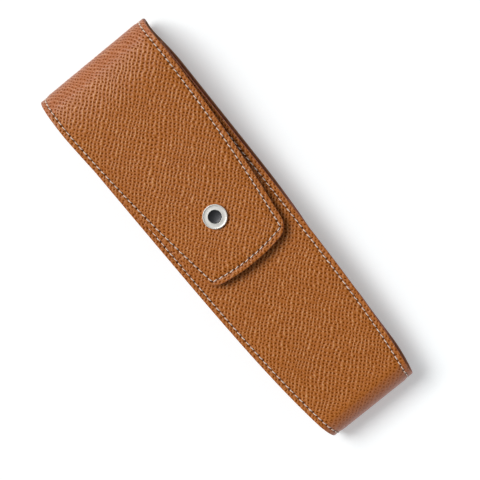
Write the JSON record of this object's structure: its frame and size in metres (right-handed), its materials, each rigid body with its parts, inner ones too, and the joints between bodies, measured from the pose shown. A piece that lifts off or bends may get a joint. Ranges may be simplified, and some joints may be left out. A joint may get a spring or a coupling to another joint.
{
  "type": "pen case",
  "caption": "Slim leather pen case with a tapered body, side walls, an inner divider and a long flap closed by a ring snap.",
  "frame": {"origin": "centre of the case's outline, on the surface that the back lies on", "axes": "+Z out of the front panel and flap, +Y along the length towards the top end where the flap folds over, +X to the right seen from the front with the top end up"},
  "size_m": [0.05, 0.165, 0.0233],
  "materials": {
    "calf_leather": "pressed grain",
    "lining_leather": "smooth matt",
    "stiffening_board": "matt",
    "plated_ring": "satin",
    "blackened_centre": "satin",
    "snap_brass": "satin",
    "spring_steel": "drawn"
  },
  "bodies": {
    "case_body": {"outer_wrap": "calf_leather", "lining_wrap": "lining_leather", "front_board": "stiffening_board", "back_board": "stiffening_board", "left_gusset": "calf_leather", "right_gusset": "calf_leather", "pen_divider": "lining_leather", "snap_stud": "snap_brass", "stud_post": "snap_brass"},
    "spine": {"spine_outer": "calf_leather", "spine_lining": "lining_leather"},
    "flap": {"flap_outer": "calf_leather", "flap_lining": "lining_leather", "flap_board": "stiffening_board", "snap_ring": "plated_ring", "ring_insert": "blackened_centre", "snap_socket": "snap_brass", "socket_spring": "spring_steel"}
  },
  "joints": [
    {"name": "spine_fold", "type": "hinge", "parent": "case_body", "child": "spine", "pos_m": [0, 0.08045, 0.00205], "axis": [-1, 0, 0], "range_deg": [0, 90]},
    {"name": "flap_fold", "type": "hinge", "parent": "spine", "child": "flap", "pos_m": [0, 0.07957, 0.01911], "axis": [-1, 0, 0], "range_deg": [0, 90]}
  ]
}
